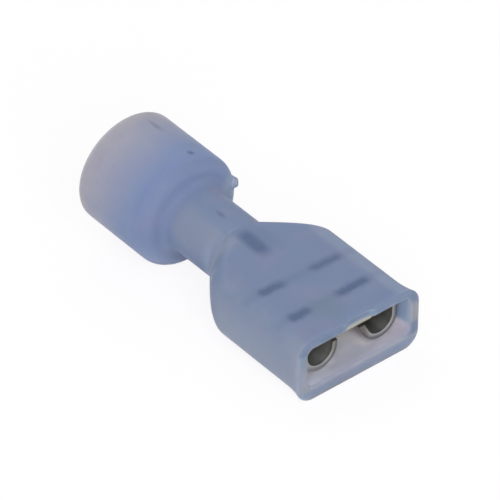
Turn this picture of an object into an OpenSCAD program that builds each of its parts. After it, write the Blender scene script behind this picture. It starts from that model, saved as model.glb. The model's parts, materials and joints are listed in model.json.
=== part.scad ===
// Fully insulated female quick disconnect terminal, for a 6.35 x 0.8 mm flat tab.
// A receptacle rolled from one piece of tinned brass sheet sits in a moulded nylon housing.
// Both are drawn along +X from the wire end to the mouth, with the wire on the X axis,
// and then laid down on z = 0 as the terminal comes to rest, nose down.

/* [Mating tab] */
// Width of the flat tab that plugs into the mouth
tab_w = 6.35; // [5.2:0.05:7.5]
// Thickness of that tab
tab_t = 0.8; // [0.6:0.05:1]

/* [Receptacle] */
// Thickness of the brass sheet
sheet_t = 0.4; // [0.32:0.02:0.5]
// Gap beside each edge of the tab
tab_side_gap = 0.12; // [0.05:0.01:0.3]
// How far the rolled edges stand into the tab's thickness
tab_grip = 0.32; // [0.2:0.02:0.4]
// Height of the receptacle, from the plate to the bottom of the rolls
recep_h = 2.5; // [2.3:0.05:3]
// Outer radius of the bend between the plate and each side
bend_r = 0.6; // [0.55:0.05:0.9]
// Outer radius of each roll
roll_r = 1.35; // [1.2:0.05:1.5]
// Angle that the right roll turns through before its straight edge
right_turn = 152; // [148:1:176]
// Angle that the left roll turns through, which was pressed further round
left_turn = 175; // [148:1:176]
// Length of the rolls
roll_l = 7.2; // [6:0.1:9]
// Length of the plate's tongue in front of the rolls
tongue_l = 0.2; // [0.1:0.05:0.5]
// Width of that tongue
tongue_w = 3.1; // [2:0.1:3.4]
// Outer radius of the detent dimple in the plate
dimple_r = 0.8; // [0.7:0.05:1]
// How far the dimple stands below the plate
dimple_h = 0.25; // [0.1:0.05:0.35]

/* [Crimp barrel] */
// Bore of the crimp barrel
barrel_bore_d = 2.3; // [1.9:0.05:2.7]
// Length of the crimp barrel
barrel_l = 4.7; // [4:0.1:6]
// Width of the butted seam along the barrel's underside
seam_w = 0.1; // [0.05:0.01:0.2]
// Length of the trough between the barrel and the receptacle
trough_l = 2.2; // [1.8:0.1:3]
// Part of a full turn that the trough covers where it leaves the barrel
trough_wrap = 0.54; // [0.45:0.01:0.7]
// Width of the trough where it meets the plate
trough_w = 5.2; // [4:0.1:6]
// How far the plate lies below the top of the barrel
plate_drop = 0.13; // [0.05:0.01:0.25]
// Depth of the stiffening groove pressed along the trough
groove_h = 0.15; // [0:0.01:0.25]
// Width of that groove
groove_w = 0.8; // [0.5:0.05:1.4]

/* [Bell and neck] */
// Bore of the bell, which takes the wire's insulation
bell_bore_d = 6.4; // [5.6:0.1:7.2]
// Wall of the bell
bell_wall = 0.64; // [0.5:0.02:0.8]
// Length of the straight outside of the bell
bell_l = 5.45; // [4.8:0.05:7]
// Depth of the bell's straight bore, before the funnel
bell_bore_l = 5; // [4:0.1:5.4]
// Length of the throat between the funnel and the barrel
throat_l = 0.15; // [0.1:0.05:0.4]
// How far the throat's edge stands back from the barrel's bore
throat_gap = 0.22; // [0.18:0.01:0.3]
// Radius of the bell's front edge
shoulder_r = 0.85; // [0.6:0.05:1]
// Radius of the bell's rear rim
rim_r = 0.16; // [0.08:0.02:0.25]
// Wall of the neck round the barrel
neck_wall = 0.65; // [0.5:0.02:0.8]
// Diameter of the gate mark's foot on the shoulder
gate_foot_d = 1; // [0.8:0.05:1.2]
// Diameter of the gate mark's end
gate_d = 0.5; // [0.3:0.05:0.7]
// Height of the gate mark
gate_h = 0.3; // [0.1:0.02:0.4]
// Angle of the gate mark above the housing's middle plane
gate_angle = 11; // [0:1:20]

/* [Flat housing] */
// Side wall of the flat housing
side_wall = 0.5; // [0.4:0.02:0.7]
// Roof of the flat housing
roof_wall = 0.47; // [0.36:0.02:0.7]
// Floor of the flat housing
floor_wall = 0.88; // [0.6:0.02:1]
// Corner radius of the flat housing's section
corner_r = 0.64; // [0.55:0.02:1]
// Corner radius of the cavity inside it
cavity_corner_r = 0.3; // [0.2:0.02:0.6]
// How far the flare starts behind the front of the barrel
flare_lead = 0.92; // [0.7:0.02:1.2]
// How far the flare runs on past the back of the receptacle
flare_run = 0.42; // [0.3:0.02:0.8]
// Exponent of the flare's plan curve
flare_power = 1.83; // [1.5:0.01:2.2]
// Length over which the mouth spreads
mouth_l = 1.68; // [1.2:0.02:2.2]
// Spread of each side of the mouth
mouth_flare = 0.36; // [0.1:0.02:0.5]
// Rise of the roof at the lip
mouth_rise = 0.2; // [0:0.02:0.3]
// Drop of the floor's lip
mouth_fall = 0.15; // [0.06:0.01:0.2]
// Corner radius of the mouth
mouth_corner_r = 1.15; // [0.8:0.05:1.4]
// Side wall at the lip
lip_wall = 0.66; // [0.5:0.02:0.74]
// Radius of the lip's outer edge
lip_r = 0.2; // [0.1:0.02:0.26]
// Distance from the plate's tongue to the mouth
mouth_gap = 0.7; // [0.5:0.05:1]
// Width of the shallow notch in the middle of the roof's front edge
notch_w = 2.3; // [1.6:0.1:4]
// Depth of that notch
notch_l = 0.26; // [0.1:0.02:0.4]
// Depth of the ribs on the roof's inside
rib_h = 0.15; // [0.08:0.01:0.25]
// Width of each rib
rib_w = 0.6; // [0.4:0.05:0.9]
// Length of each rib
rib_l = 2.2; // [1.5:0.1:2.6]
// Distance from the back of the receptacle to the first row of ribs
rib_start = 2.35; // [1.5:0.05:3]
// Distance between the rows of ribs
rib_pitch = 2.7; // [2:0.05:3.5]

/* [Fits] */
// Gap round the barrel in the neck
barrel_gap = 0.03; // [0.01:0.01:0.08]
// Gap beside each side of the receptacle
side_gap = 0.15; // [0.08:0.01:0.3]
// Gap under the rolls
floor_gap = 0.1; // [0.06:0.02:0.3]
// Gap between the ribs and the plate
rib_gap = 0.03; // [0.01:0.01:0.08]

/* [Hidden] */
$fn = 64;

// Where one shape sinks into the next of the same piece
bite = 0.02;
bite_l = 0.15;

// Terminal, across
barrel_r = barrel_bore_d / 2 + sheet_t;
recep_half_w = tab_w / 2 + tab_side_gap + sheet_t;
plate_half_w = recep_half_w - bend_r;
plate_top = barrel_r - plate_drop;
plate_under = plate_top - sheet_t;
roll_bottom = plate_top - recep_h;
roll_y = recep_half_w - roll_r;
roll_z = roll_bottom + roll_r;
roll_edge_z = plate_under - tab_t + tab_grip;
side_top = plate_top - bend_r;

// Bell and neck, from the wire end
bell_r = bell_bore_d / 2 + bell_wall;
seat_r = barrel_r + barrel_gap;
neck_r = seat_r + neck_wall;
fillet_r = bell_r - neck_r - shoulder_r;
throat_r = barrel_bore_d / 2 + throat_gap;

// Places along the terminal
barrel_x = bell_l + shoulder_r + fillet_r + throat_l;
trough_x = barrel_x + barrel_l;
roll_x = trough_x + trough_l;
tongue_x = roll_x + roll_l;
mouth_x = tongue_x + tongue_l + mouth_gap;

// Flat housing, across
cavity_half_w = recep_half_w + side_gap;
cavity_top = plate_top + rib_gap + rib_h;
cavity_floor = roll_bottom - floor_gap;
body_half_w = cavity_half_w + side_wall;
body_top = cavity_top + roof_wall;
body_floor = cavity_floor - floor_wall;
mouth_floor = body_floor - mouth_fall;
mouth_top = body_top + mouth_rise;

// Flat housing, along
flare_x = trough_x - flare_lead;
flare_l = roll_x + flare_run - flare_x;
flare_steps = 12;
mouth_steps = 4;
lip_steps = 3;
corner_steps = 6;

// How it comes to rest: on the bell's front edge and on the mouth's lower lip
rest_dx = (mouth_x - lip_r) - bell_l;
rest_dz = (mouth_floor + lip_r) + (bell_r - shoulder_r);
rest_tilt = atan2(rest_dz, rest_dx) + asin((shoulder_r - lip_r) / norm([rest_dx, rest_dz]));
rest_lift = bell_l * sin(rest_tilt) + (bell_r - shoulder_r) * cos(rest_tilt) + shoulder_r;
rest_back = rim_r - rim_r * cos(rest_tilt) + (bell_r - rim_r) * sin(rest_tilt);
rest_front = (mouth_x - lip_r) * cos(rest_tilt) + (mouth_top - lip_r) * sin(rest_tilt) + lip_r;

function ease(t) = t * t * (3 - 2 * t);
function mix(a, b, t) = a + (b - a) * t;

// A rounded rectangle across X: half width, top, floor and corner radius
function ring(x, half_w, top, floor, r) = [
    for (corner = [[1, 1, 0], [-1, 1, 90], [-1, -1, 180], [1, -1, 270]], i = [0:corner_steps])
        let (a = corner[2] + 90 * i / corner_steps)
        [x,
         corner[0] * (half_w - r) + r * cos(a),
         (corner[1] > 0 ? top - r : floor + r) + r * sin(a)]
];

// The ring part of the way along the flare, from a round neck to the flat section, its floor the last to change
function flare_ring(t, r0, half_w, top, floor, r) =
    let (e = ease(t), spread = mix(r0, half_w, 1 - pow(1 - t, flare_power)))
    ring(flare_x + flare_l * t, spread, mix(r0, top, e), mix(-r0, floor, e * e), mix(r0, r, e));

// The ring part of the way along the mouth
function mouth_ring(t, half_w, flare, top, rise, floor, fall, r, r1) =
    let (s = t * t)
    ring(mouth_x - mouth_l + (mouth_l - lip_r) * t,
         half_w + flare * s, top + rise * s, floor - fall * s, mix(r, r1, s));

// Closed skin over a loop of rings, the last joined to the first
module loop_skin(rings) {
    count = len(rings);
    sides = len(rings[0]);
    faces = [
        for (i = [0:count - 1], j = [0:sides - 1])
            let (a = i * sides, b = (i + 1) % count * sides, k = (j + 1) % sides)
            each [[a + j, b + j, b + k], [a + j, b + k, a + k]]
    ];
    polyhedron(points = [for (r = rings) each r], faces = faces);
}

// Skin over a row of sheet rings, each one face of the sheet and then the other, closed at both ends
module sheet_skin(rings) {
    count = len(rings);
    sides = len(rings[0]);
    last = (count - 1) * sides;
    walls = [
        for (i = [0:count - 2], j = [0:sides - 1])
            let (a = i * sides, b = a + sides, k = (j + 1) % sides)
            each [[a + j, b + j, b + k], [a + j, b + k, a + k]]
    ];
    ends = [
        for (j = [0:sides / 2 - 2])
            let (k = j + 1, m = sides - 1 - j, n = m - 1)
            each [
                [j, k, n], [j, n, m],
                [last + n, last + k, last + j], [last + m, last + n, last + j]
            ]
    ];
    polyhedron(points = [for (r = rings) each r], faces = concat(walls, ends));
}

// Draws a section in Y and Z along X
module along_x(x, l) {
    translate([x, 0, 0]) rotate([90, 0, 90]) linear_extrude(l) children();
}

// Turns a half section, radius across and X up, round the X axis
module round_x() {
    rotate([0, 90, 0]) rotate_extrude() children();
}

// Lays the finished terminal down with the middle of its length over the origin
module at_rest() {
    translate([(rest_back - rest_front) / 2, 0, rest_lift]) rotate([0, rest_tilt, 0]) children();
}

// Part of a ring of sheet, from angle a0 to a1
module bent_sheet(r, a0, a1) {
    reach = 2 * r;
    wedge = [for (i = [0:4]) let (a = mix(a0, a1, i / 4)) reach * [cos(a), sin(a)]];
    intersection() {
        difference() {
            circle(r);
            circle(r - sheet_t);
        }
        polygon(concat([[0, 0]], wedge));
    }
}

// Half section of the bell, shoulder and neck with their bores
module round_half_section() {
    shoulder_x = bell_l + shoulder_r;
    neck_front = flare_x + bite_l;
    bore_points = [
        [0, -bell_l], [bell_bore_d / 2, -bell_l], [bell_bore_d / 2, bell_bore_l],
        [throat_r, barrel_x - throat_l], [throat_r, barrel_x], [seat_r, barrel_x],
        [seat_r, neck_front + bell_l], [0, neck_front + bell_l]
    ];
    difference() {
        union() {
            square([bell_r, bell_l]);
            square([bell_r - shoulder_r, shoulder_x]);
            translate([bell_r - shoulder_r, bell_l]) circle(shoulder_r);
            difference() {
                square([neck_r + fillet_r, shoulder_x + fillet_r]);
                translate([neck_r + fillet_r, shoulder_x + fillet_r]) circle(fillet_r);
            }
            square([neck_r, neck_front]);
        }
        difference() {
            translate([bell_r - rim_r, -rim_r]) square(2 * rim_r);
            translate([bell_r - rim_r, rim_r]) circle(rim_r);
        }
        polygon(bore_points);
    }
}

// Walls of the flare, the flat housing and the mouth, as rings out along the outside and back inside
module flat_shell() {
    inner_flare = mouth_flare + side_wall - lip_wall;
    outer_start = neck_r - bite;
    inner_start = seat_r + bite;
    outside = concat(
        [ring(flare_x - bite_l, outer_start, outer_start, -outer_start, outer_start)],
        [for (i = [0:flare_steps])
            flare_ring(i / flare_steps, outer_start, body_half_w, body_top, body_floor, corner_r)],
        [for (i = [0:mouth_steps])
            mouth_ring(i / mouth_steps, body_half_w, mouth_flare, body_top, mouth_rise,
                       body_floor, mouth_fall, corner_r, mouth_corner_r)]
    );
    lip = [
        for (i = [1:lip_steps])
            let (a = 90 * i / lip_steps, inset = lip_r * (1 - cos(a)))
            ring(mouth_x - lip_r + lip_r * sin(a), body_half_w + mouth_flare - inset,
                 mouth_top - inset, mouth_floor + inset, mouth_corner_r - inset)
    ];
    mouth_inner_r = mouth_corner_r - lip_wall;
    inside = concat(
        [ring(mouth_x, cavity_half_w + inner_flare, cavity_top + mouth_rise, cavity_floor, mouth_inner_r)],
        [for (i = [mouth_steps:-1:0])
            mouth_ring(i / mouth_steps, cavity_half_w, inner_flare, cavity_top, mouth_rise,
                       cavity_floor, 0, cavity_corner_r, mouth_inner_r)],
        [for (i = [flare_steps:-1:0])
            flare_ring(i / flare_steps, inner_start, cavity_half_w, cavity_top, cavity_floor, cavity_corner_r)],
        [ring(flare_x - bite_l, inner_start, inner_start, -inner_start, inner_start)]
    );
    difference() {
        loop_skin(concat(outside, lip, inside));
        roof_notch();
    }
}

// Shallow notch across the middle of the roof's front edge, as a column to cut away
module roof_notch() {
    steps = 12;
    reach = 1.1;
    back = [
        for (i = [0:steps])
            let (c = reach * (2 * i / steps - 1))
            [mouth_x - notch_l * (1 - pow(c, 4)), c * notch_w / 2]
    ];
    front = [for (side = [1, -1]) [mouth_x + notch_l, side * reach * notch_w / 2]];
    translate([0, 0, plate_top]) linear_extrude(mouth_top) polygon(concat(back, front));
}

// Short ribs on the roof's inside that steady the plate, one row behind the other
module roof_ribs() {
    rib_back = roll_x + rib_start - rib_w / 2;
    rib_y = plate_half_w - rib_l;
    for (row = [0, 1], side = [0, 1])
        mirror([0, side, 0])
            translate([rib_back + row * rib_pitch, rib_y, cavity_top - rib_h])
                cube([rib_w, rib_l, rib_h + roof_wall / 2]);
}

// Stub left on the shoulder where the gate was broken off, wide at its foot
module gate_mark() {
    foot = shoulder_r / 4;
    rotate([gate_angle, 0, 0])
        translate([bell_l + shoulder_r * sin(45), bell_r - shoulder_r * (1 - cos(45)), 0])
            rotate([-90, 0, -45])
                translate([0, 0, -foot])
                    cylinder(h = foot + gate_h, d1 = gate_foot_d, d2 = gate_d);
}

// Nylon insulator, one moulding from the bell to the mouth
module housing() {
    color([0.5, 0.57, 0.69])
        at_rest() {
            round_x() round_half_section();
            flat_shell();
            roof_ribs();
            gate_mark();
        }
}

// One side of the receptacle: bent down from the plate, rolled in under the tab and ended in a straight edge
module rolled_side(roll_turn) {
    turn = [cos(roll_turn), -sin(roll_turn)];
    climb = [-sin(roll_turn), -cos(roll_turn)];
    foot = [roll_y, roll_z] - bite_l * climb;
    outer_foot = foot + (roll_r - bite) * turn;
    inner_foot = foot + (roll_r - sheet_t + bite) * turn;
    outer_edge = outer_foot + climb * (roll_edge_z - outer_foot[1]) / climb[1];
    inner_edge = inner_foot + climb * (roll_edge_z - inner_foot[1]) / climb[1];
    translate([plate_half_w, side_top]) bent_sheet(bend_r, 0, 90);
    translate([recep_half_w - sheet_t, roll_z]) square([sheet_t, side_top - roll_z]);
    translate([roll_y, roll_z]) bent_sheet(roll_r, 0, -roll_turn);
    polygon([outer_foot, outer_edge, inner_edge, inner_foot]);
}

// Section of the receptacle: the plate on top, and a rolled side on its right and on its left
module receptacle_section() {
    translate([-plate_half_w, plate_under]) square([2 * plate_half_w, sheet_t]);
    rolled_side(right_turn);
    mirror([1, 0]) rolled_side(left_turn);
}

// Tongue that runs on from the plate between the rolls, its corners cut off
module tongue() {
    cut = tongue_l / 2;
    half_w = tongue_w / 2;
    outline = [
        [-bite_l, -half_w], [tongue_l - cut, -half_w], [tongue_l, cut - half_w],
        [tongue_l, half_w - cut], [tongue_l - cut, half_w], [-bite_l, half_w]
    ];
    translate([tongue_x, 0, plate_under + bite]) linear_extrude(sheet_t - 2 * bite) polygon(outline);
}

// One ring of the trough's sheet, t from the round barrel to the flat plate, with the groove pressed in
function trough_ring(x, t) =
    let (
        e = ease(t),
        mid_r = barrel_r - sheet_t / 2,
        bend = max(1 - e, 0.001) / mid_r,
        half = mix(trough_wrap * PI * mid_r, trough_w / 2, e),
        mid_z = mid_r - plate_drop * e,
        thick = sheet_t / 2 - bite,
        steps = 24,
        dip = groove_h * sin(180 * t),
        across = [for (i = [0:steps]) 1 - 2 * i / steps],
        angle = [for (c = across) bend * half * c * 180 / PI],
        sink = [for (c = across) dip * max(0, 1 - pow(c * half / groove_w * 2, 2))]
    )
    [for (face = [1, -1], i = [0:steps])
        let (
            k = face > 0 ? i : steps - i,
            r = 1 / bend + face * thick - sink[k]
        )
        [x, r * sin(angle[k]), mid_z - 1 / bend + r * cos(angle[k])]];

// Trough that opens from the barrel into the plate
module trough() {
    steps = 10;
    sheet_skin(concat(
        [trough_ring(trough_x - bite_l, 0)],
        [for (i = [0:steps]) trough_ring(trough_x + trough_l * i / steps, i / steps)],
        [trough_ring(roll_x + bite_l, 1)]
    ));
}

// Crimp barrel, rolled round until its edges butt
module barrel() {
    along_x(barrel_x, barrel_l)
        difference() {
            circle(barrel_r);
            circle(barrel_bore_d / 2);
            translate([-seam_w / 2, -2 * barrel_r]) square([seam_w, 2 * barrel_r]);
        }
}

// Ball that forms the detent dimple, inside and out
module dimple_ball(r) {
    translate([roll_x + roll_l / 2, 0, plate_under - dimple_h + dimple_r]) rotate([90, 0, 0]) sphere(r);
}

// Outside of the dimple, from the middle of the plate down
module dimple() {
    intersection() {
        dimple_ball(dimple_r);
        translate([roll_x, -dimple_r, plate_under - dimple_r])
            cube([roll_l, 2 * dimple_r, dimple_r + sheet_t / 2]);
    }
}

// Brass terminal, one stamping from the barrel to the receptacle
module terminal() {
    color([0.72, 0.72, 0.7])
        at_rest()
            difference() {
                union() {
                    barrel();
                    trough();
                    along_x(roll_x, roll_l) receptacle_section();
                    tongue();
                    dimple();
                }
                dimple_ball(dimple_r - sheet_t);
            }
}

housing();
terminal();
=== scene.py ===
import json
import math

import bmesh
import bpy
from mathutils import Matrix, Vector


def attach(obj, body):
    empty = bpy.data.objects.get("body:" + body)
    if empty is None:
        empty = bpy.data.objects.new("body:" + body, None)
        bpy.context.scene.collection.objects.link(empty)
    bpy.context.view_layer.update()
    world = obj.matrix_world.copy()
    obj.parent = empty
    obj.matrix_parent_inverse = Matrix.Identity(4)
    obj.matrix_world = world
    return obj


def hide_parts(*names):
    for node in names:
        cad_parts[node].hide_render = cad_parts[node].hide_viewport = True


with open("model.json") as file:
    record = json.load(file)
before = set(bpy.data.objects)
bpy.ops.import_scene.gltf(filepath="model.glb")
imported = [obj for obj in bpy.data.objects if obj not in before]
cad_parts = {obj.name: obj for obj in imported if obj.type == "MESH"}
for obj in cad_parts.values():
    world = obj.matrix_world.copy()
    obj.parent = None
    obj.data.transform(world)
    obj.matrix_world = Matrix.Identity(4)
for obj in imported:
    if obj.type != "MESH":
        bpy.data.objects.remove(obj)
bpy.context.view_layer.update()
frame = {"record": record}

# Terminal: the receptacle and its crimp barrel, one stamping of tin-plated brass strip.
# The plate's two sides are bent down and rolled in under the tab, and its tail is rolled up into a barrel.
# It is pushed into the housing from the mouth until the barrel's rear end meets the ledge in the neck.

mm = 0.001
mounts = {mount["name"]: mount for mount in frame["record"]["mounts"]}
sheet = 0.4
barrel_x = 7.21
barrel_l = mounts["wire_barrel"]["dims"]["length_mm"]
barrel_r = mounts["wire_barrel"]["dims"]["r_mm"] + sheet
trough_x = barrel_x + barrel_l
trough_l = 2.2
trough_half_w = 2.6
roll_x = trough_x + trough_l
roll_l = 7.2
tongue_x = roll_x + roll_l
tongue_half_w = 1.55
tongue_l = 0.2
side_y = 3.695
bend_r = 0.6
plate_drop = 0.13
plate_top = barrel_r - plate_drop
plate_half_w = side_y - bend_r
roll_r = 1.35
right_turn = math.radians(152)
left_turn = math.radians(175)
roll_y = side_y - roll_r
receptacle_h = 2.5
roll_z = plate_top - receptacle_h + roll_r
leg_edge_z = 0.54

bpy.ops.object.select_all(action="DESELECT")
bpy.ops.mesh.primitive_plane_add(size=2, enter_editmode=True)
terminal = bpy.context.object
terminal.name = "rolled_terminal"
bpy.ops.transform.resize(value=((tongue_x - roll_x) / 2, plate_half_w, 1), center_override=(0, 0, 0))
bpy.ops.transform.translate(value=((tongue_x + roll_x) / 2, 0, plate_top))


def near(a, b):
    return abs(a - b) < 1e-4


def pick(piece, kind, wanted):
    """In edit mode, selects the vertices, edges or faces whose middle is wanted."""
    bpy.ops.mesh.select_mode(type=kind)
    bpy.ops.mesh.select_all(action="DESELECT")
    shape = bmesh.from_edit_mesh(piece.data)
    for part in {"VERT": shape.verts, "EDGE": shape.edges, "FACE": shape.faces}[kind]:
        corners = [part] if kind == "VERT" else part.verts
        part.select = wanted(sum((v.co for v in corners), Vector()) / len(corners))
    shape.select_flush_mode()
    bmesh.update_edit_mesh(piece.data)


# the plate is cut up lengthways where the trough and the tongue leave it
for cut in (-trough_half_w, -tongue_half_w, tongue_half_w, trough_half_w):
    bpy.ops.mesh.select_all(action="SELECT")
    bpy.ops.mesh.bisect(plane_co=(0, cut, 0), plane_no=(0, 1, 0))
tongue_columns = 14
side_columns = 10
for columns, low, high in ((tongue_columns, 0, tongue_half_w),
                           (side_columns, tongue_half_w, trough_half_w)):
    pick(terminal, "EDGE", lambda m: not roll_x < m.x < tongue_x and low <= abs(m.y) < high)
    bpy.ops.mesh.subdivide(number_cuts=columns - 1)

# each side is bent down, runs straight, rolls in and ends in a leg that comes up to the tab
straight = (0, 0, roll_z - plate_top + bend_r)
for side, roll_turn in ((1, right_turn), (-1, left_turn)):
    pick(terminal, "EDGE", lambda m: near(m.y, side * plate_half_w))
    bpy.ops.mesh.spin(steps=10, angle=side * math.pi / 2, axis=(1, 0, 0),
                      center=(0, side * plate_half_w, plate_top - bend_r))
    bpy.ops.mesh.extrude_region_move(TRANSFORM_OT_translate={"value": straight})
    bpy.ops.mesh.spin(steps=32, angle=side * roll_turn, axis=(1, 0, 0), center=(0, side * roll_y, roll_z))
    leg_foot_z = roll_z - roll_r * math.sin(roll_turn)
    leg_rise = leg_edge_z + sheet / 4 - leg_foot_z
    leg = (0, side * leg_rise * math.tan(roll_turn), leg_rise)
    bpy.ops.mesh.extrude_region_move(TRANSFORM_OT_translate={"value": leg})

# the tongue runs on from the plate between the rolls, with its corners cut off
tongue_cut = tongue_l / 2
pick(terminal, "EDGE", lambda m: near(m.x, tongue_x) and near(m.z, plate_top) and abs(m.y) < tongue_half_w)
bpy.ops.mesh.extrude_region_move(TRANSFORM_OT_translate={"value": (tongue_l - tongue_cut, 0, 0)})
bpy.ops.mesh.extrude_region_move(TRANSFORM_OT_translate={"value": (tongue_cut, 0, 0)})
bpy.ops.transform.resize(value=(1, 1 - tongue_cut / tongue_half_w, 1), center_override=(0, 0, 0))

# the tail is rolled into a barrel, butted along a narrow seam underneath
seam_half_w = 0.1
bpy.ops.mesh.select_all(action="DESELECT")
bpy.ops.mesh.primitive_cylinder_add(vertices=64, radius=barrel_r, depth=barrel_l, end_fill_type="NOTHING",
                                    location=(barrel_x + barrel_l / 2, 0, 0), rotation=(0, math.pi / 2, 0))
pick(terminal, "FACE", lambda m: m.x < trough_x and m.z < 0 and abs(m.y) < seam_half_w)
bpy.ops.mesh.delete(type="FACE")

# the trough opens from the barrel's upper half into the plate, with a stiffening groove pressed along it,
# in three presses: how far from the trough's ends each stays, its half width and its depth
trough_foot_z = -0.2
groove_presses = ((0.3, 0.4, 0.04), (0.5, 0.26, 0.06), (0.8, 0.1, 0.05))
pick(terminal, "EDGE", lambda m: near(m.x, trough_x) and m.z > trough_foot_z
     or near(m.x, roll_x) and near(m.z, plate_top) and abs(m.y) < trough_half_w)
bpy.ops.mesh.bridge_edge_loops(number_cuts=9, interpolation="SURFACE", smoothness=1)
for margin, half_w, depth in groove_presses:
    pick(terminal, "VERT", lambda m: trough_x + margin < m.x < roll_x - margin and abs(m.y) < half_w)
    bpy.ops.transform.translate(value=(0, 0, -depth))

# the sheet gets its thickness, the legs are cut off level, and the cut edges are slightly rounded
bpy.ops.mesh.select_mode(type="VERT")
bpy.ops.mesh.select_all(action="SELECT")
bpy.ops.mesh.remove_doubles(threshold=1e-4)
bpy.ops.mesh.normals_make_consistent(inside=False)
bpy.ops.object.mode_set(mode="OBJECT")
thick = terminal.modifiers.new("thickness", "SOLIDIFY")
thick.thickness = sheet
thick.offset = -1
thick.use_even_offset = True
bpy.ops.object.modifier_apply(modifier=thick.name)
bpy.ops.object.mode_set(mode="EDIT")
pick(terminal, "FACE", lambda m: m.x > roll_x - 0.01 and abs(m.y) < roll_y - roll_r / 2
     and m.z < plate_top - 1.5 * sheet)
bpy.ops.mesh.bisect(plane_co=(0, 0, leg_edge_z), plane_no=(0, 0, 1), clear_outer=True, use_fill=True)
bpy.ops.object.mode_set(mode="OBJECT")
edges = terminal.modifiers.new("cut_edges", "BEVEL")
edges.width = 0.05
edges.segments = 2
edges.angle_limit = math.radians(50)
bpy.ops.object.modifier_apply(modifier=edges.name)


def take(piece):
    """Makes the piece the only one that is selected, and the active one."""
    bpy.ops.object.select_all(action="DESELECT")
    piece.select_set(True)
    bpy.context.view_layer.objects.active = piece


def combine(piece, tool, operation):
    """Joins a tool shape to the piece, or cuts it away, removes the tool and clears faces with no area."""
    take(piece)
    step = piece.modifiers.new("combine", "BOOLEAN")
    step.operation = operation
    step.object = tool
    step.solver = "EXACT"
    bpy.ops.object.modifier_apply(modifier=step.name)
    bpy.data.objects.remove(tool)
    bpy.ops.object.mode_set(mode="EDIT")
    bpy.ops.mesh.select_all(action="SELECT")
    bpy.ops.mesh.dissolve_degenerate(threshold=1e-3)
    bpy.ops.object.mode_set(mode="OBJECT")


# the detent dimple is a small dome pressed down in the middle of the plate
dimple_r = 0.8
dimple_depth = 0.25
dimple_at = ((roll_x + tongue_x) / 2, 0, plate_top - sheet - dimple_depth + dimple_r)
bpy.ops.mesh.primitive_uv_sphere_add(segments=40, ring_count=20, radius=dimple_r, location=dimple_at,
                                     enter_editmode=True)
dome = bpy.context.object
bpy.ops.mesh.bisect(plane_co=(0, 0, plate_top - sheet / 2), plane_no=(0, 0, 1),
                    clear_outer=True, use_fill=True)
bpy.ops.object.mode_set(mode="OBJECT")
combine(terminal, dome, "UNION")
bpy.ops.mesh.primitive_uv_sphere_add(segments=40, ring_count=20, radius=dimple_r - sheet,
                                     location=dimple_at)
combine(terminal, bpy.context.object, "DIFFERENCE")
bpy.ops.object.shade_smooth_by_angle(angle=math.radians(35))

# on the table the part lies on its bell and its mouth, nose down
axis = Vector(mounts["tab_slot"]["axis"])
tilt = math.atan2(-axis.z, axis.x)
wire_end = Vector(mounts["wire_barrel"]["pos_m"]) - axis * (barrel_x + barrel_l / 2) * mm


def lay_down(piece):
    """Takes a piece from millimetres along its own axis to where it lies on the table, in metres."""
    take(piece)
    piece.scale = (mm, mm, mm)
    piece.rotation_euler = (0, tilt, 0)
    piece.location = wire_end
    bpy.ops.object.transform_apply(location=True, rotation=True, scale=True)


lay_down(terminal)


class Sock:
    """One output of a shader node: sums on it add Math nodes, and node() adds any other node."""

    def __init__(self, tree, out):
        self.tree = tree
        self.out = out

    def node(self, kind, settings, sockets, out=0):
        """Adds a node with its settings and its sockets' values or links, and gives one of its outputs."""
        made = self.tree.nodes.new(kind)
        for name, value in settings.items():
            setattr(made, name, value)
        for key, value in sockets.items():
            if isinstance(value, Sock):
                self.tree.links.new(value.out, made.inputs[key])
            else:
                made.inputs[key].default_value = value
        return Sock(self.tree, made.outputs[out]) if made.outputs else None

    def math(self, operation, first, second=0.0):
        return self.node("ShaderNodeMath", {"operation": operation}, {0: first, 1: second})

    def __add__(self, other):
        return self.math("ADD", self, other)

    def __sub__(self, other):
        return self.math("SUBTRACT", self, other)

    def __rsub__(self, other):
        return self.math("SUBTRACT", other, self)

    def __mul__(self, other):
        return self.math("MULTIPLY", self, other)

    def __abs__(self):
        return self.math("ABSOLUTE", self)

    __radd__ = __add__
    __rmul__ = __mul__

    def fade(self, low, high, curve="SMOOTHSTEP"):
        """0 below low and 1 above high, with a smooth or straight run between."""
        return self.node("ShaderNodeMapRange", {"interpolation_type": curve},
                         {"Value": self, "From Min": low, "From Max": high})

    def band(self, middle, core, edge):
        """1 within core of the middle, and 0 further than edge from it."""
        return 1 - abs(self - middle).fade(core, edge)

    def tint(self, first, second):
        """The first colour where this is 0 and the second where it is 1."""
        return self.node("ShaderNodeMix", {"data_type": "RGBA"}, {0: self, 6: first, 7: second}, 2)


def rgb(red, green, blue):
    """A screen colour, 0 to 255, as the linear colour that a shader takes."""
    shares = [level / 255 for level in (red, green, blue)]
    return (*[s / 12.92 if s <= 0.04045 else ((s + 0.055) / 1.055) ** 2.4 for s in shares], 1)


def blank(name):
    """A new material with no node in it yet, and a socket to start its nodes from."""
    made = bpy.data.materials.new(name)
    made.use_nodes = True
    made.node_tree.nodes.clear()
    return made, Sock(made.node_tree, None)


def begin(name):
    """A blank material, and the place on its surface in millimetres along the part's own axis."""
    made, start = blank(name)
    here = start.node("ShaderNodeTexCoord", {}, {}, "Object")
    back = Matrix.Rotation(-tilt, 3, "Y") @ wire_end / -mm
    own = here.node("ShaderNodeMapping", {}, {"Vector": here, "Scale": (1 / mm, 1 / mm, 1 / mm),
                                              "Rotation": (0, -tilt, 0), "Location": back})
    return made, own, [own.node("ShaderNodeSeparateXYZ", {}, {"Vector": own}, out) for out in range(3)]


def grain(own, scale, detail=3.0, stretch=(1, 1, 1)):
    """Soft noise about 0.5, with about so many lumps to the millimetre."""
    spread = own.node("ShaderNodeMapping", {}, {"Vector": own, "Scale": stretch})
    return own.node("ShaderNodeTexNoise", {}, {"Vector": spread, "Scale": scale, "Detail": detail})


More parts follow.
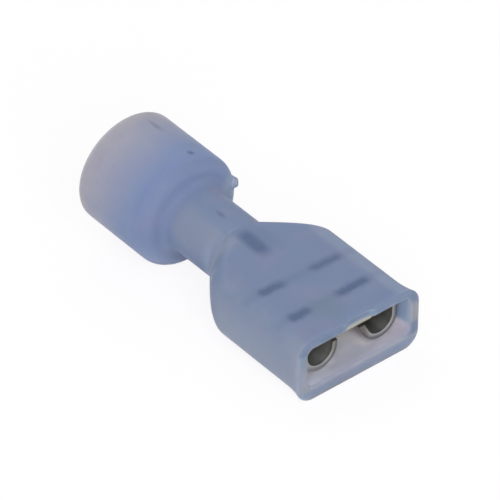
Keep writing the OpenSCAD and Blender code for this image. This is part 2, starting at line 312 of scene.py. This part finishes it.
def spot(own, place, core, edge):
    """1 within core of a place on the surface, and 0 further than edge from it."""
    away = own.node("ShaderNodeVectorMath", {"operation": "DISTANCE"}, {0: own, 1: place}, "Value")
    return 1 - away.fade(core, edge)


# dull grey tin with drawing lines along the strip, painted paler inside the rolls as light against their
# shade, with a painted highlight on the inner edge of the rolls' cut ends, painted shade on the legs' cut
# ends, and creamy at the tongue's
tin, own, (x, y, z) = begin("tin_plated_brass")
drawn = grain(own, 5.0, 4.0, (0.15, 1, 1))
cloud = grain(own, 0.7, 2.0)
colour = (cloud * 0.6 + drawn * 0.4).tint(rgb(132, 131, 131), rgb(168, 167, 164))
roll_away = own.node("ShaderNodeCombineXYZ", {}, {"Y": abs(y) - roll_y, "Z": z - roll_z})
roll_reach = own.node("ShaderNodeVectorMath", {"operation": "LENGTH"}, {0: roll_away}, "Value")
# painted light: the rolls' insides are painted paler to stand against the shade in them, the left one more
painted_light_in_roll = 1 - roll_reach.fade(roll_r - sheet, roll_r - sheet / 2)
painted_light_in_roll = painted_light_in_roll * (1 - x.fade(tongue_x - 0.3, tongue_x))
colour = painted_light_in_roll.tint(colour, y.fade(-1.0, 1.0).tint(rgb(190, 189, 186), rgb(172, 171, 168)))
roll_ends = x.fade(tongue_x - 0.06, tongue_x - 0.02)
# painted highlight: the rolls' cut ends are paler towards their inner edge
rim = roll_reach.fade(roll_r - sheet, roll_r - sheet / 5, "LINEAR")
rim = rim.tint(rgb(180, 179, 177), rgb(152, 151, 150))
rim = (1 - y.fade(-1.0, 0.0)).tint(rim, rgb(171, 170, 167))
rim = (y.fade(2.9, 3.5) * 0.5).tint(rim, rgb(134, 133, 132))
colour = roll_ends.tint(colour, rim)
# painted shade: the legs' cut ends are painted dark brownish grey
shaded_leg_ends = roll_ends * (1 - abs(y).fade(roll_y - roll_r, roll_y - roll_r / 2))
shaded_leg_ends = shaded_leg_ends * (1 - z.fade(0.6, 0.8))
colour = shaded_leg_ends.tint(colour, rgb(108, 104, 99))
cream = (cloud * 0.8 + drawn * 0.2).tint(rgb(157, 154, 137), rgb(197, 197, 184))
tongue_end = x.fade(tongue_x + tongue_l - 0.1, tongue_x + tongue_l - 0.04)
colour = tongue_end.tint(colour, y.fade(-1.4, -0.3).tint(rgb(166, 159, 164), cream))
relief = own.node("ShaderNodeBump", {}, {"Height": drawn, "Strength": 0.12, "Distance": 0.02 * mm})
finish = {"Base Color": colour, "Metallic": 1.0, "Roughness": drawn * 0.25 + 0.28, "Normal": relief}
shader = own.node("ShaderNodeBsdfPrincipled", {}, finish)
own.node("ShaderNodeOutputMaterial", {}, {"Surface": shader})
terminal.data.materials.append(tin)
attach(terminal, "root")
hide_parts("terminal")

# Housing: the insulator, one moulding of pale blue nylon that lets a little light through.
# A round bell takes the wire's insulation, a neck grips the barrel, and a flat end covers the receptacle.
# It is drawn as sections from the rear rim along the outside to the mouth, and back through the inside.

bell_l = 5.45
bell_r = 3.84
bore_r = mounts["insulation_bell"]["dims"]["r_mm"]
bore_l = mounts["insulation_bell"]["dims"]["length_mm"]
bore_edge = 0.12
bore_corner = ((0.06, 0.08), (0.0, 0.02))
rim_r = 0.16
shoulder_r = 0.85
neck_r = 2.23
fillet_r = bell_r - neck_r - shoulder_r
seat_gap = 0.03
seat_r = barrel_r + seat_gap
throat_gap = 0.22
throat_r = barrel_r - sheet + throat_gap
throat_x = bell_l + shoulder_r + fillet_r
flare_x = 10.99
flare_l = 3.54
flare_bulge = 1.83
mouth_x = 22.21
mouth_l = 1.68
mouth_r = 1.15
lip_r = 0.2
lip_wall = 0.66
edge_r = 0.1
mouth_rise = 0.2
mouth_fall = 0.15
mouth_spread = 0.36
body = {"half_w": 4.345, "top": 2.07, "floor": -2.06, "r": 0.64}
cavity = {"half_w": 3.845, "top": 1.6, "floor": -1.18, "r": 0.3}
mouth = {"half_w": body["half_w"] + mouth_spread, "top": body["top"] + mouth_rise,
         "floor": body["floor"] - mouth_fall, "r": mouth_r}
inner_mouth = {"half_w": mouth["half_w"] - lip_wall, "top": cavity["top"] + mouth_rise,
               "floor": cavity["floor"], "r": mouth_r - lip_wall}


def blend(a, b, t):
    return a + (b - a) * t


def quarter(count):
    """The sine and cosine at even steps over a quarter turn."""
    turns = [math.pi / 2 * i / count for i in range(count + 1)]
    return [(math.sin(a), math.cos(a)) for a in turns]


def flare_section(t, start, wall):
    """Part of the way along the flare, from the round neck to flat walls, the floor the last to change."""
    ease = t * t * (3 - 2 * t)
    widening = 1 - (1 - t) ** flare_bulge
    outline = {"half_w": blend(start, wall["half_w"], widening), "top": blend(start, wall["top"], ease),
               "floor": blend(-start, wall["floor"], ease * ease), "r": blend(start, wall["r"], ease)}
    return flare_x + flare_l * t, outline


def mouth_section(t, wall, end):
    """Part of the way along the mouth, where the walls spread."""
    outline = {size: blend(wall[size], end[size], t * t) for size in wall}
    return mouth_x - mouth_l + (mouth_l - lip_r) * t, outline


def grown(wall, by):
    """A flat section with its outline moved out by so much."""
    return {"half_w": wall["half_w"] + by, "top": wall["top"] + by,
            "floor": wall["floor"] - by, "r": wall["r"] + by}


# where each section is and its outline, with a few more along the straight runs to keep their faces short
sections = [(rim_r - rim_r * c, bell_r - rim_r + rim_r * s) for s, c in quarter(4)]
sections += [(x, bell_r) for x in (1.2, 2.4, 3.6, 4.6)]
sections += [(bell_l + shoulder_r * s, bell_r - shoulder_r + shoulder_r * c) for s, c in quarter(12)]
sections += [(throat_x - fillet_r * c, neck_r + fillet_r - fillet_r * s) for s, c in quarter(12)[1:]]
sections += [(x, neck_r) for x in (8.2, 9.4, 10.4, flare_x)]
sections += [flare_section(i / 20, neck_r, body) for i in range(1, 21)]
sections += [(x, body) for x in (16.0, 17.6, 19.2)]
sections += [mouth_section(i / 8, body, mouth) for i in range(9)]
sections += [(mouth_x - lip_r + lip_r * s, grown(mouth, lip_r * c - lip_r)) for s, c in quarter(6)[1:]]
sections += [(mouth_x - edge_r + edge_r * c, grown(inner_mouth, edge_r - edge_r * s))
             for s, c in quarter(4)]
sections += [mouth_section(i / 8, cavity, inner_mouth) for i in range(8, -1, -1)]
sections += [(x, cavity) for x in (18.5, 16.5)]
sections += [flare_section(i / 14, seat_r, cavity) for i in range(14, 0, -1)]
sections += [(x, seat_r) for x in (flare_x, 9.0, barrel_x)]
sections += [(barrel_x, throat_r), (throat_x, throat_r)]
sections += [(bore_l + along, bore_r - inwards) for along, inwards in bore_corner]
sections += [(x, bore_r) for x in (4.9, 2.5, bore_edge)]
sections += [(0.0, bore_r + bore_edge)]

corner_edges = 10
level_edges = 10
upright_edges = 4
around = 4 * corner_edges + 2 * level_edges + 2 * upright_edges


def add_section(piece, x, outline):
    """Adds one section across the part: a circle, or a plane with rounded corners and its sides cut up."""
    bpy.ops.mesh.select_all(action="DESELECT")
    if not isinstance(outline, dict):
        bpy.ops.mesh.primitive_circle_add(vertices=around, radius=outline, location=(x, 0, 0),
                                          rotation=(0, math.pi / 2, 0))
        return
    half_w, top, floor, r = (outline[size] for size in ("half_w", "top", "floor", "r"))
    middle = (x, 0, (top + floor) / 2)
    bpy.ops.mesh.primitive_plane_add(size=2, location=middle, rotation=(0, math.pi / 2, 0))
    bpy.ops.transform.resize(value=(1, half_w, (top - floor) / 2), center_override=middle)
    bpy.ops.mesh.bevel(offset=r, segments=corner_edges, affect="VERTICES", clamp_overlap=False)
    bpy.ops.mesh.delete(type="ONLY_FACE")
    for edges, along, side_l in ((level_edges, "y", 2 * (half_w - r)),
                                 (upright_edges, "z", top - floor - 2 * r)):
        shape = bmesh.from_edit_mesh(piece.data)
        for edge in shape.edges:
            run = edge.verts[1].co - edge.verts[0].co
            a_side = near(run.length, side_l) and near(run.length, abs(getattr(run, along)))
            edge.select = a_side and not edge.link_faces and near(edge.verts[0].co.x, x)
        shape.select_flush_mode()
        bpy.ops.mesh.subdivide(number_cuts=edges - 1)


def bridge_sections(piece, first, second):
    """Joins two sections with a strip of faces, picked by their numbers."""
    shape = bmesh.from_edit_mesh(piece.data)
    bpy.ops.mesh.select_all(action="DESELECT")
    for edge in shape.edges:
        numbers = {v.index // around for v in edge.verts}
        edge.select = numbers in ({first}, {second})
    shape.select_flush_mode()
    bmesh.update_edit_mesh(piece.data)
    bpy.ops.mesh.bridge_edge_loops()


bpy.ops.object.select_all(action="DESELECT")
bpy.ops.mesh.primitive_circle_add(vertices=around, radius=sections[0][1], enter_editmode=True)
housing = bpy.context.object
housing.name = "nylon_housing"
bpy.ops.mesh.delete(type="VERT")
bpy.ops.mesh.select_mode(type="EDGE")
for number, (section_x, outline) in enumerate(sections):
    add_section(housing, section_x, outline)
    bpy.ops.object.mode_set(mode="OBJECT")
    bpy.ops.object.mode_set(mode="EDIT")
    if number:
        bridge_sections(housing, number - 1, number)
bridge_sections(housing, len(sections) - 1, 0)
bpy.ops.mesh.select_all(action="SELECT")
bpy.ops.mesh.normals_make_consistent(inside=False)
bpy.ops.object.mode_set(mode="OBJECT")

# a shallow notch is cut across the middle of the roof's front edge
notch_half_w = 1.15
notch_l = 0.26
notch_columns = 24
cutter_reach = 1.1
bpy.ops.mesh.primitive_cube_add(size=2, location=(mouth_x + notch_l, 0, plate_top + 1),
                                enter_editmode=True)
notch = bpy.context.object
bpy.ops.transform.resize(value=(notch_l, cutter_reach * notch_half_w, 1), center_override=notch.location)
pick(notch, "EDGE", lambda m: near(m.y, 0))
bpy.ops.mesh.subdivide(number_cuts=notch_columns - 1)
for column in range(notch_columns + 1):
    c = cutter_reach * (2 * column / notch_columns - 1)
    pick(notch, "VERT", lambda m: m.x < 0 and near(m.y, c * notch_half_w))
    bpy.ops.transform.translate(value=(-notch_l * (1 - c ** 4), 0, 0))
bpy.ops.object.mode_set(mode="OBJECT")
combine(housing, notch, "DIFFERENCE")

# two rows of short ribs on the roof's inside steady the terminal's plate
rib_w = 0.6
rib_l = 2.2
rib_h = 0.385
rib_gap = 0.03
rib_rows = (16.46, 19.16)
bpy.ops.mesh.primitive_cube_add(size=1, enter_editmode=True)
ribs = bpy.context.object
bpy.ops.mesh.delete(type="VERT")
for row_x in rib_rows:
    for side in (1, -1):
        middle = (row_x, side * (plate_half_w - rib_l / 2), plate_top + rib_gap + rib_h / 2)
        bpy.ops.mesh.primitive_cube_add(size=1, location=middle)
        bpy.ops.transform.resize(value=(rib_w, rib_l, rib_h), center_override=middle)
        bpy.ops.mesh.select_all(action="DESELECT")
bpy.ops.object.mode_set(mode="OBJECT")
combine(housing, ribs, "UNION")

# the stub left on the shoulder where the gate was broken off, wide at its foot and a little askew,
# is drawn as rings from its foot: how high each is, and its radius
gate_foot = shoulder_r / 4
gate_foot_r = 0.5
gate_lean = 0.01
gate_turn = math.radians(11)
gate_outline = ((0.0, 0.42), (0.1, 0.35), (0.2, 0.3), (0.27, 0.26), (0.3, 0.19))
bpy.ops.mesh.primitive_circle_add(vertices=32, radius=gate_foot_r, fill_type="NGON",
                                  location=(0, 0, -gate_foot), enter_editmode=True)
stub = bpy.context.object
bpy.ops.mesh.select_mode(type="FACE")
height = -gate_foot
radius = gate_foot_r
for next_height, next_radius in gate_outline:
    rise = (gate_lean, 0, next_height - height)
    bpy.ops.mesh.extrude_region_move(TRANSFORM_OT_translate={"value": rise})
    narrower = next_radius / radius
    bpy.ops.transform.resize(value=(narrower, narrower, 1), center_override=(0, 0, 0))
    height = next_height
    radius = next_radius
bpy.ops.mesh.select_all(action="SELECT")
bpy.ops.mesh.normals_make_consistent(inside=False)
bpy.ops.object.mode_set(mode="OBJECT")
diagonal = math.sin(math.pi / 4)
on_shoulder = (bell_l + shoulder_r * diagonal, bell_r - shoulder_r * (1 - diagonal), 0)
stub.matrix_world = (Matrix.Rotation(gate_turn, 4, "X") @ Matrix.Translation(on_shoulder)
                     @ Matrix.Rotation(-math.pi / 4, 4, "Z") @ Matrix.Rotation(-math.pi / 2, 4, "X")
                     @ Matrix.Translation((0, 0, -gate_foot)))
combine(housing, stub, "UNION")
bpy.ops.object.shade_smooth_by_angle(angle=math.radians(50))
lay_down(housing)

# nylon: paler and greyer, as painted light, where it is hollow behind and light shines through, bluer where
# it is thick or has metal behind it
# (places are in millimetres along, across and up, from the middle of the bell's rim)
nylon, own, (x, y, z) = begin("pale_blue_nylon")
across = abs(y)
cloud = grain(own, 0.45, 3.0)
fleck = grain(own, 2.2, 4.0)
# painted light: paler towards the rear rim and on the upper left, where light shines through the thin bell
reach = x + (cloud - 0.5) * 1.2 + (y.fade(-1.0, 0.5) + 1 - z.fade(-0.3, 1.0)) * 0.7
colour = reach.fade(1.0, 5.0, "LINEAR").tint(rgb(164, 163, 176), rgb(128, 144, 179))
colour = x.fade(0.1, 1.0).tint(rgb(167, 165, 173), colour)
# painted light and shade: bands darker on the shoulder and lighter in the fillet flatten their shading, and
# the bell's underside by the shoulder is painted lighter
colour = x.fade(4.9, 5.5).tint(colour, rgb(125, 140, 177))
colour = x.fade(5.4, 5.95).tint(colour, rgb(119, 133, 165))
colour = x.fade(6.0, 6.5).tint(colour, rgb(124, 138, 171))
colour = x.fade(6.9, 7.6).tint(colour, rgb(122, 137, 167))
colour = (x.band(6.2, 0.5, 1.0) * (1 - z.fade(-2.5, 0.0)) * 0.8).tint(colour, rgb(138, 151, 181))
# painted light: the shoulder below the gate stub, facing away from the lamps, is painted lighter; the stub
# itself is painted darker
painted_light_below_gate = x.band(6.3, 0.4, 0.9) * y.fade(2.0, 3.0) * (1 - z.fade(0.8, 2.0))
colour = (painted_light_below_gate * 0.75).tint(colour, rgb(150, 162, 182))
colour = spot(own, (6.2, 3.66, 0.71), 0.2, 0.4).tint(colour, rgb(122, 126, 141))
neck_left = x.fade(6.7, 7.5) * (1 - x.fade(11.8, 12.8)) * (1 - y.fade(-1.5, -0.3)) * z.fade(-0.5, 0.8)
colour = neck_left.tint(colour, rgb(134, 144, 168))
# painted light: the crease where the neck meets the flare, and a thin line along it, are painted lighter
# against their shade
painted_light_crease = x.band(11.0, 0.3, 1.3) * (1 - y.fade(-2.4, -0.6)) * 0.7
painted_light_crease = painted_light_crease + x.band(11.02, 0.04, 0.2) * (1 - y.fade(-1.2, 0.0)) * z.fade(-0.5, 0.5) * 0.3
colour = painted_light_crease.tint(colour, rgb(151, 165, 190))
# painted light: the left side where the flare widens from the neck is painted lighter against its shade
painted_light_flare_left = x.band(11.9, 0.6, 1.4) * (1 - y.fade(-3.9, -3.0))
colour = (painted_light_flare_left * 0.85).tint(colour, rgb(155, 170, 188))
flat = x.fade(12.5, 14.5)
roof_side = y.fade(-1.0, 1.0).tint(rgb(124, 138, 166), rgb(134, 147, 172))
colour = (flat * across.fade(2.9, 3.5)).tint(colour, roof_side)
side_tone = z.fade(-1.9, 1.4, "LINEAR").tint(rgb(150, 157, 175), rgb(129, 142, 168))
side_tone = (x.fade(19.5, 22.0) * 0.6).tint(side_tone, rgb(156, 163, 182))
colour = (flat * across.fade(3.7, 4.35)).tint(colour, side_tone)
# painted shade: the rounded edges between roof and sides are painted a little darker to dull the light they
# catch
painted_shade_corner = flat * across.fade(3.7, 4.1) * z.fade(1.35, 1.8)
colour = (painted_shade_corner * 0.25).tint(colour, rgb(114, 126, 138))

# inside the mouth the floor is painted pale as light against the shade in there, palest far in and under
# the rolls, where painted light fills the shade at their feet, pinker on the right, and the walls are
# bluer, with painted light on the right wall's front end
inside = x.fade(13.9, 14.5) * (1 - across.fade(4.08, 4.25)) * (1 - z.fade(1.83, 1.95))
inside = inside * z.fade(-1.5, -1.22) * (1 - (across + z).fade(5.6, 5.85))
floor_tone = x.fade(20.2, 21.8).tint(rgb(207, 207, 217), rgb(183, 185, 198))
floor_tone = (1 - x.fade(19.4, 20.4)).tint(floor_tone, rgb(243, 238, 241))
painted_light_under_rolls = across.fade(0.7, 1.5) * (1 - x.fade(20.9, 21.5))
floor_tone = (painted_light_under_rolls * 0.8).tint(floor_tone, rgb(241, 237, 241))
floor_tone = (y.fade(0.5, 3.0) * 0.6).tint(floor_tone, rgb(200, 192, 203))
floor_tone = (y.fade(1.8, 3.0) * x.fade(21.5, 21.95) * 0.7).tint(floor_tone, rgb(176, 177, 189))
floor_tone = ((1 - y.fade(-3.6, -2.4)) * x.fade(20.8, 21.6)).tint(floor_tone, rgb(197, 199, 214))
floor_tone = x.fade(21.9, 22.12).tint(floor_tone, rgb(160, 163, 180))
wall_tone = (x.fade(21.7, 22.0) * y.fade(3.0, 3.5)).tint(rgb(139, 158, 183), rgb(156, 168, 184))
above_floor = (z - y.fade(2.5, 3.5) * 0.5).fade(-1.15, -0.7)
colour = inside.tint(colour, above_floor.tint(floor_tone, wall_tone))

# the lip has a pale end on the right wall, and a blue band with a pale edge below the floor,
# and it is darkest along the roof, where a thin line follows the notch
front = x.fade(mouth_x - 0.14, mouth_x - 0.02)
lip = z.fade(-0.4, 1.2).tint(rgb(143, 146, 158), rgb(119, 134, 148))
right_end = z.band(0.5, 0.5, 0.95).tint(rgb(113, 124, 146), rgb(136, 140, 147))
lip = y.fade(3.0, 3.8).tint(lip, right_end)
lip = (1 - z.fade(-1.3, -1.0)).tint(lip, rgb(137, 143, 156))
lip = z.band(-1.62, 0.08, 0.3).tint(lip, rgb(129, 141, 164))
lip = (1 - z.fade(-2.0, -1.8)).tint(lip, rgb(136, 142, 157))
lip = (y.band(-1.4, 0.6, 1.4) * (1 - z.fade(-1.1, -0.9)) * 0.4).tint(lip, rgb(121, 129, 147))
colour = front.tint(colour, lip)
# painted shade: the left lip's rounded outer edge is painted darker to dull the light it catches
painted_shade_left_edge = x.fade(21.93, 22.08) * (1 - y.fade(-4.65, -4.4))
colour = (painted_shade_left_edge * 0.6).tint(colour, rgb(122, 130, 149))
roof_end = x.fade(mouth_x - 0.3, mouth_x - 0.1) * z.fade(1.35, 1.7)
roof_lip = y.fade(0, 2.0).tint(rgb(103, 117, 140), rgb(110, 123, 146))
colour = roof_end.tint(colour, roof_lip)
notch_edge = x.fade(21.7, 21.95) * across.band(0, 1.0, 1.5) * z.fade(1.35, 1.7)
colour = notch_edge.tint(colour, rgb(117, 131, 153))
bow = y * y * notch_half_w ** -2
notch_line = (x - bow * bow * notch_l).band(mouth_x - notch_l, 0.03, 0.12) * (1 - y.fade(0.5, 1.0))
notch_line = notch_line * across.band(0, 1.1, 1.2) * z.fade(1.9, 2.1)
colour = (notch_line * 0.55).tint(colour, rgb(90, 102, 124))

# ribs and the groove inside show through the roof as soft darker dashes, with a dull patch before the notch
left_1 = y.fade(-3.4, -2.8) * (1 - y.fade(-2.0, -0.8))
right_1 = y.fade(0.4, 1.1) * (1 - y.fade(2.6, 3.3))
left_2 = y.fade(-3.5, -2.9) * (1 - y.fade(-2.0, -1.3))
right_2 = y.fade(0.0, 0.9) * (1 - y.fade(2.5, 3.1))
wavy = x + (fleck - 0.5) * 0.35
row_1 = (wavy - y * 0.035).band(16.7, 0.0, 0.6) * (left_1 + right_1 * 0.7 + 0.2)
row_2 = wavy.band(19.5, 0.0, 0.6) * (left_2 + right_2 * 0.9 + 0.2)
groove = y.band(-0.4, 0.1, 0.75) + y.band(0.4, 0.2, 1.1) * 0.2
groove = groove * x.fade(11.0, 12.2) * (1 - x.fade(13.2, 14.5))
dashes = own.math("MINIMUM", row_1 + row_2 + groove, 1.0) * z.fade(1.6, 1.9)
colour = dashes.tint(colour, rgb(92, 108, 141))
colour = (spot(own, (20.0, -0.8, 2.07), 0.3, 1.7) * 0.5).tint(colour, rgb(118, 133, 150))

# a dark speck, two streaks and a paler patch on the bell and neck, and faint pink and green clouding
colour = (spot(own, (5.13, 0.91, 3.73), 0.05, 0.34) * 0.8).tint(colour, rgb(88, 100, 132))
streak = own.node("ShaderNodeMapping", {}, {"Vector": own, "Scale": (0.3, 1, 1),
                                            "Location": (-0.51, -0.92, -3.72)})
colour = (spot(streak, (0, 0, 0), 0.05, 0.3) * 0.5).tint(colour, rgb(112, 118, 142))
scratch = own.node("ShaderNodeMapping", {}, {"Vector": own, "Scale": (0.35, 1, 1),
                                             "Location": (-3.3, 0.25, -2.21)})
colour = (spot(scratch, (0, 0, 0), 0.03, 0.22) * 0.75).tint(colour, rgb(96, 109, 137))
colour = (spot(own, (10.2, -1.6, 1.55), 0.1, 0.9) * 0.5).tint(colour, rgb(142, 147, 166))
colour = (cloud.fade(0.45, 0.75) * (1 - dashes) * 0.2).tint(colour, rgb(158, 146, 170))
colour = (fleck.fade(0.5, 0.8) * 0.18).tint(colour, rgb(118, 146, 166))
skin = grain(own, 6.0, 4.0)
relief = own.node("ShaderNodeBump", {}, {"Height": skin, "Strength": 0.1, "Distance": 0.03 * mm})
finish = {"Base Color": colour, "Roughness": fleck * 0.2 + 0.45, "Normal": relief,
          "Specular IOR Level": 0.2, "Subsurface Weight": 1.0, "Subsurface Radius": (1, 1, 1),
          "Subsurface Scale": 1.2 * mm}
shader = own.node("ShaderNodeBsdfPrincipled", {}, finish)
own.node("ShaderNodeOutputMaterial", {}, {"Surface": shader})
housing.data.materials.append(nylon)
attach(housing, "root")
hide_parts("housing")

# Table: a plain sheet of white paper that the part lies on.
# To the camera and in reflections most of its white is its own, so it stays white in any light,
# and the rest is matte, so the part's shadow still falls on it.

bpy.ops.object.select_all(action="DESELECT")
bpy.ops.mesh.primitive_plane_add(size=1.2)
table = bpy.context.object
table.name = "white_table"
own_white = 0.86
paper, start = blank("white_paper")
camera_ray = start.node("ShaderNodeLightPath", {}, {}, "Is Camera Ray")
glossy_ray = start.node("ShaderNodeLightPath", {}, {}, "Is Glossy Ray")
passed_ray = start.node("ShaderNodeLightPath", {}, {}, "Is Transmission Ray")
seen = camera_ray.math("MINIMUM", camera_ray + glossy_ray + passed_ray, 1.0)
matte = seen.node("ShaderNodeBsdfDiffuse", {}, {"Color": (0.92, 0.92, 0.92, 1)})
glow = seen.node("ShaderNodeEmission", {}, {"Color": (1, 0.99, 1, 1), "Strength": 1.03})
mostly_glow = seen.node("ShaderNodeMixShader", {}, {0: own_white, 1: matte, 2: glow})
either = seen.node("ShaderNodeMixShader", {}, {0: seen, 1: matte, 2: mostly_glow})
seen.node("ShaderNodeOutputMaterial", {}, {"Surface": either})
table.data.materials.append(paper)

# Light: a pale studio all round, which leaves hardly any shade on the part,
# with a large soft lamp beside the camera that reaches into the mouth,
# and a weaker one behind that shows through the bell.

world = bpy.data.worlds.new("studio")
bpy.context.scene.world = world
world.use_nodes = True
world.node_tree.nodes["Background"].inputs["Color"].default_value = (1, 1, 1, 1)
world.node_tree.nodes["Background"].inputs["Strength"].default_value = 0.55
lamps = (("front_lamp", (0.44, -0.24, 0.32), 0.35, 2.4), ("back_lamp", (-0.35, 0.2, 0.45), 0.4, 0.4))
for name, place, size, watts in lamps:
    bpy.ops.object.light_add(type="AREA", location=place)
    lamp = bpy.context.object
    lamp.name = name
    lamp.data.size = size
    lamp.data.energy = watts
    lamp.rotation_euler = Vector(place).to_track_quat("Z", "Y").to_euler()

# Camera: a long lens a third of a metre away, above the left corner of the mouth.
# The mouth points to the lower right, and the bell's rim is at the upper left.

bpy.ops.object.camera_add(location=(0.2172667, -0.1643476, 0.1954075),
                          rotation=[math.radians(turn) for turn in (54.7785, 3.1393, 50.5549)])
camera = bpy.context.object
camera.data.lens = 395.976
camera.data.sensor_width = 36
bpy.context.scene.camera = camera
bpy.context.scene.view_settings.view_transform = "Standard"
